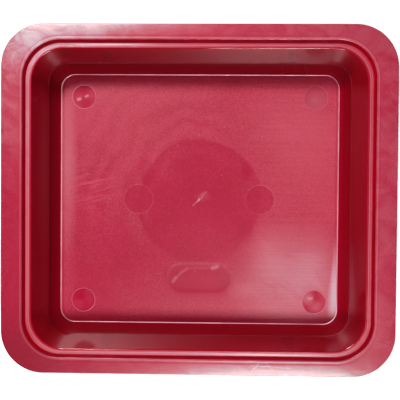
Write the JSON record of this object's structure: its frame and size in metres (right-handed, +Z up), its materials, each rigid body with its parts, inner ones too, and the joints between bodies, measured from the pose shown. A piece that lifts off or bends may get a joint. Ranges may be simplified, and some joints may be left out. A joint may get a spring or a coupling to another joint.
{
  "type": "developing tray",
  "caption": "Shallow rectangular plastic tray for photographic chemicals, with a wide flat rim, a recessed ledge, sloped walls and a flat floor on rubber feet.",
  "frame": {"origin": "under the tray's centre, on the surface that the feet stand on", "axes": "+X along the long side, +Y to the back long side, +Z up out of the open tray"},
  "size_m": [0.38, 0.3364, 0.0672],
  "materials": {
    "tray_plastic": "injection-moulded crimson plastic, glossy inside, fine satin on the rim",
    "foot_rubber": "matt black rubber"
  },
  "bodies": {
    "root": {"tray_body": "tray_plastic", "foot_front_left": "foot_rubber", "foot_front_right": "foot_rubber", "foot_back_left": "foot_rubber", "foot_back_right": "foot_rubber", "pad_left": "foot_rubber", "pad_right": "foot_rubber"}
  },
  "joints": []
}
